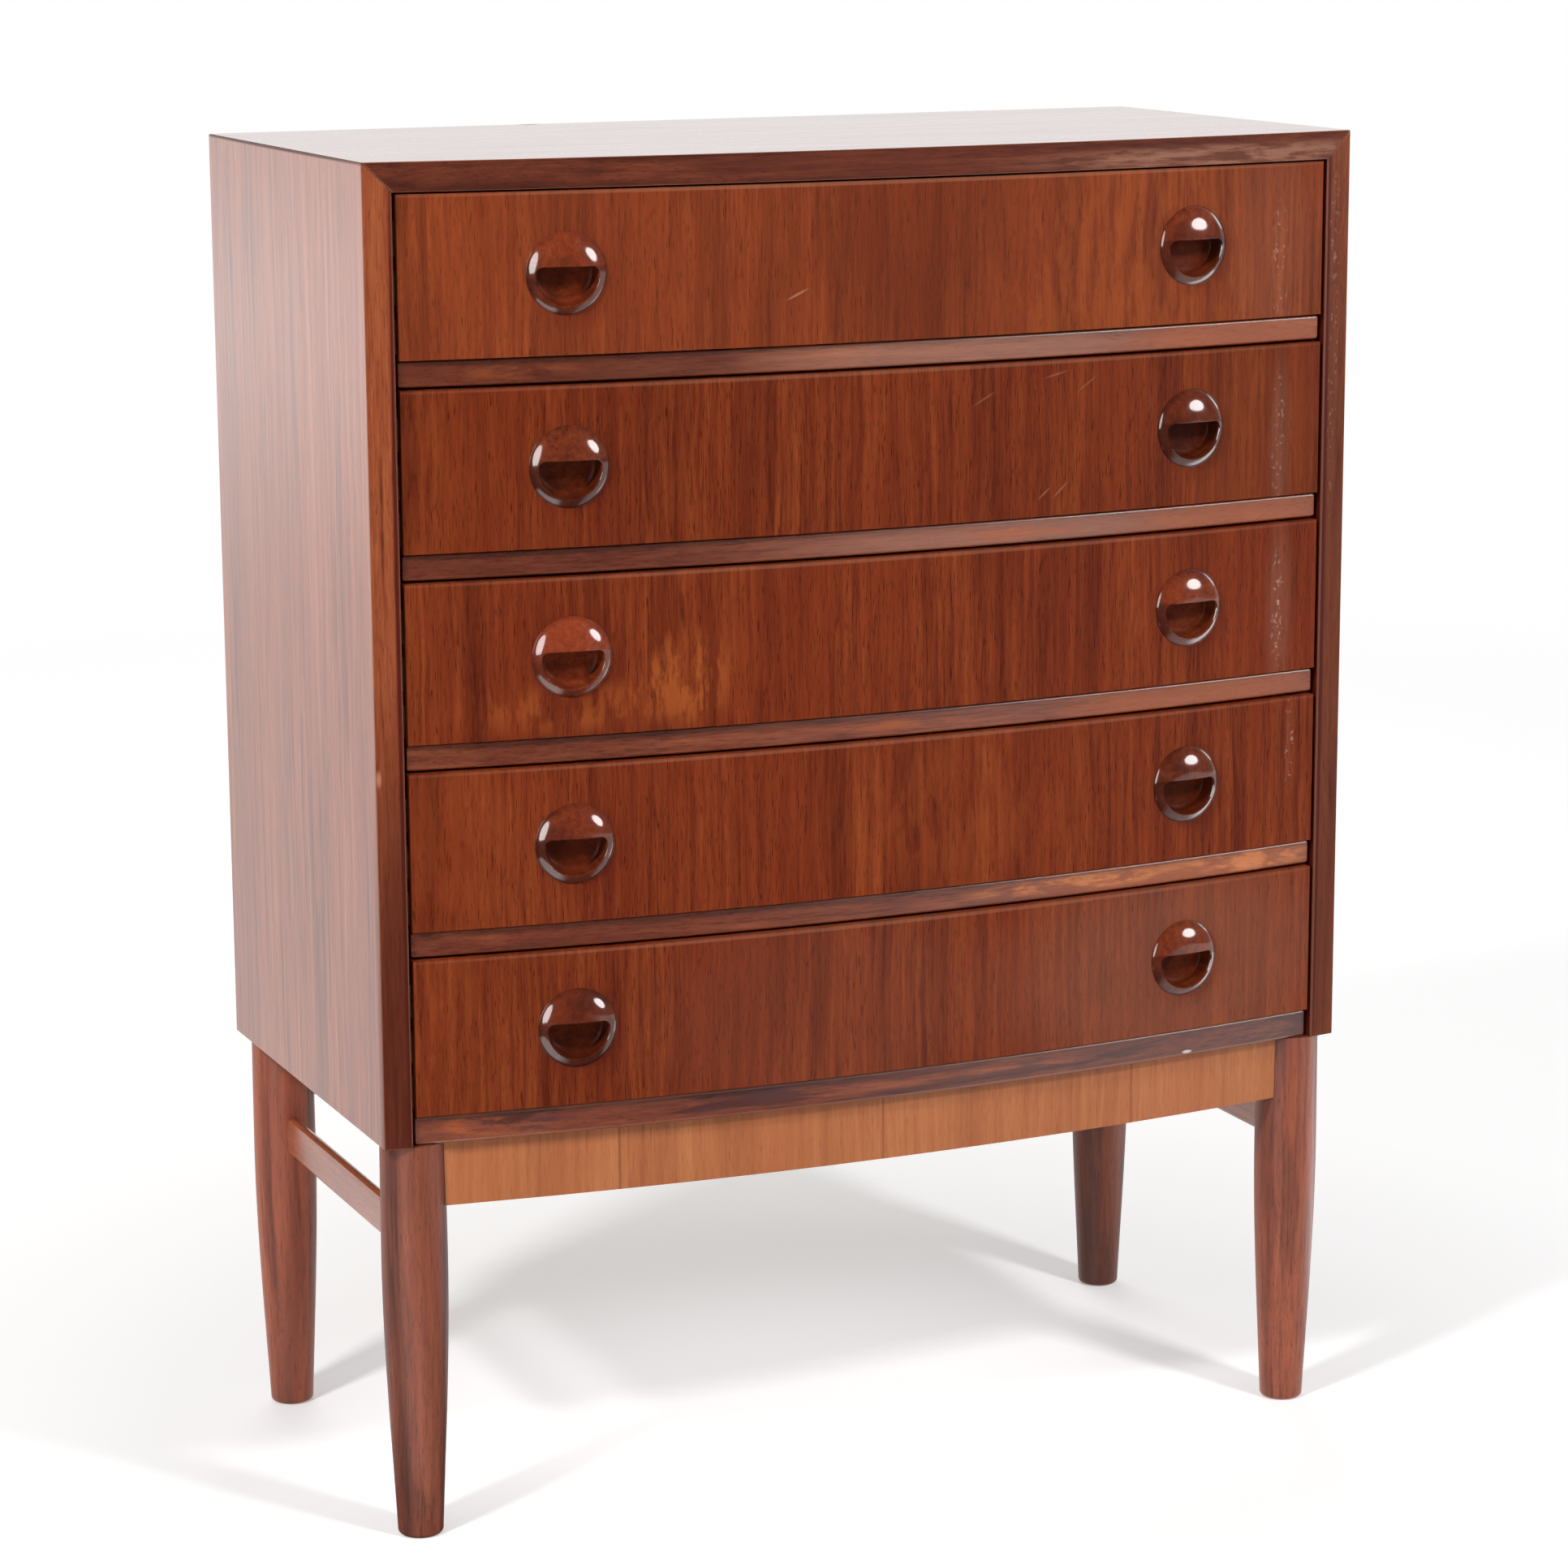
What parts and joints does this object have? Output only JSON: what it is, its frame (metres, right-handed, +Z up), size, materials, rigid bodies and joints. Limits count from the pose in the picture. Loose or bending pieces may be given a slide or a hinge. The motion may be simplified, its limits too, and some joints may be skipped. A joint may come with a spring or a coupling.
{
  "type": "bow front chest of drawers",
  "caption": "Bow front chest of drawers with round half-lidded finger pulls, on a low base of tapered turned legs, a curved apron and side stretchers.",
  "frame": {"origin": "on the floor, under the middle of the chest's bounding box", "axes": "+X to the right as seen from the front, +Y from the bowed front to the back, +Z up"},
  "size_m": [0.8, 0.409, 1.028],
  "materials": {
    "case_rosewood": "oiled rosewood veneer, satin, vertical grain on the sides",
    "drawer_front_rosewood": "lacquered rosewood veneer, satin, vertical grain",
    "rail_rosewood": "lacquered rosewood, satin, grain along the rail",
    "pull_rosewood": "turned and polished rosewood, glossy",
    "leg_wood": "turned solid wood, satin, dark streaks",
    "apron_wood": "solid and veneered wood, satin",
    "drawer_box_wood": "pale solid wood, planed, matt",
    "plywood": "thin plywood, sanded, matt"
  },
  "bodies": {
    "carcass": {"top_panel": "case_rosewood", "left_side_panel": "case_rosewood", "right_side_panel": "case_rosewood", "bottom_panel": "case_rosewood", "back_panel": "plywood", "divider_rail_1": "rail_rosewood", "divider_rail_2": "rail_rosewood", "divider_rail_3": "rail_rosewood", "divider_rail_4": "rail_rosewood", "left_runner_1": "drawer_box_wood", "right_runner_1": "drawer_box_wood", "left_runner_2": "drawer_box_wood", "right_runner_2": "drawer_box_wood", "left_runner_3": "drawer_box_wood", "right_runner_3": "drawer_box_wood", "left_runner_4": "drawer_box_wood", "right_runner_4": "drawer_box_wood", "front_left_leg": "leg_wood", "front_right_leg": "leg_wood", "back_left_leg": "leg_wood", "back_right_leg": "leg_wood", "front_apron": "apron_wood", "back_apron": "apron_wood", "left_stretcher": "apron_wood", "right_stretcher": "apron_wood"},
    "drawer_1": {"drawer_1_front": "drawer_front_rosewood", "drawer_1_left_side": "drawer_box_wood", "drawer_1_right_side": "drawer_box_wood", "drawer_1_back": "drawer_box_wood", "drawer_1_bottom": "plywood", "drawer_1_left_pull": "pull_rosewood", "drawer_1_right_pull": "pull_rosewood"},
    "drawer_2": {"drawer_2_front": "drawer_front_rosewood", "drawer_2_left_side": "drawer_box_wood", "drawer_2_right_side": "drawer_box_wood", "drawer_2_back": "drawer_box_wood", "drawer_2_bottom": "plywood", "drawer_2_left_pull": "pull_rosewood", "drawer_2_right_pull": "pull_rosewood"},
    "drawer_3": {"drawer_3_front": "drawer_front_rosewood", "drawer_3_left_side": "drawer_box_wood", "drawer_3_right_side": "drawer_box_wood", "drawer_3_back": "drawer_box_wood", "drawer_3_bottom": "plywood", "drawer_3_left_pull": "pull_rosewood", "drawer_3_right_pull": "pull_rosewood"},
    "drawer_4": {"drawer_4_front": "drawer_front_rosewood", "drawer_4_left_side": "drawer_box_wood", "drawer_4_right_side": "drawer_box_wood", "drawer_4_back": "drawer_box_wood", "drawer_4_bottom": "plywood", "drawer_4_left_pull": "pull_rosewood", "drawer_4_right_pull": "pull_rosewood"},
    "drawer_5": {"drawer_5_front": "drawer_front_rosewood", "drawer_5_left_side": "drawer_box_wood", "drawer_5_right_side": "drawer_box_wood", "drawer_5_back": "drawer_box_wood", "drawer_5_bottom": "plywood", "drawer_5_left_pull": "pull_rosewood", "drawer_5_right_pull": "pull_rosewood"}
  },
  "joints": [
    {"name": "drawer_1_slide", "type": "slide", "parent": "carcass", "child": "drawer_1", "axis": [0, -1, 0], "range_m": [0, 0.26]},
    {"name": "drawer_2_slide", "type": "slide", "parent": "carcass", "child": "drawer_2", "axis": [0, -1, 0], "range_m": [0, 0.26]},
    {"name": "drawer_3_slide", "type": "slide", "parent": "carcass", "child": "drawer_3", "axis": [0, -1, 0], "range_m": [0, 0.26]},
    {"name": "drawer_4_slide", "type": "slide", "parent": "carcass", "child": "drawer_4", "axis": [0, -1, 0], "range_m": [0, 0.26]},
    {"name": "drawer_5_slide", "type": "slide", "parent": "carcass", "child": "drawer_5", "axis": [0, -1, 0], "range_m": [0, 0.26]}
  ]
}
